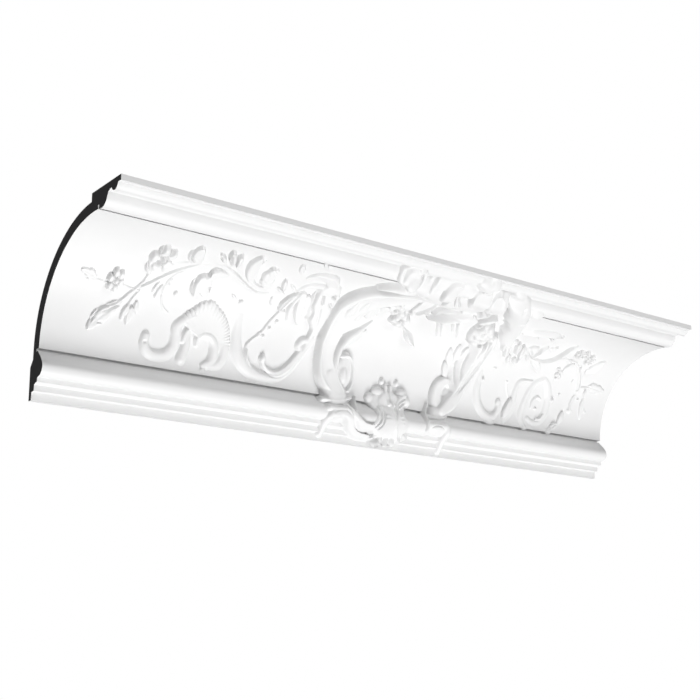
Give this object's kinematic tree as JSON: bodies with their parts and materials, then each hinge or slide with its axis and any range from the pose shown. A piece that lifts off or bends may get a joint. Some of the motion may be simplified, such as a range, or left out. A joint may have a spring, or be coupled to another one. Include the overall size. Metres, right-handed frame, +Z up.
{
  "type": "cornice moulding section",
  "caption": "White cove cornice section carved with a rocaille cartouche, scrolls and flower sprays, made to be fixed between wall and ceiling.",
  "frame": {"origin": "middle of the narrow flat face that bears on the wall, half way along the section", "axes": "+X along the section, to the right as seen from the room; +Y into the wall; +Z up, towards the ceiling"},
  "size_m": [0.8, 0.1753, 0.1731],
  "materials": {
    "polyurethane": "smooth satin white primer on a cast rigid foam"
  },
  "bodies": {
    "root": {"cornice_moulding": "polyurethane"}
  },
  "joints": []
}
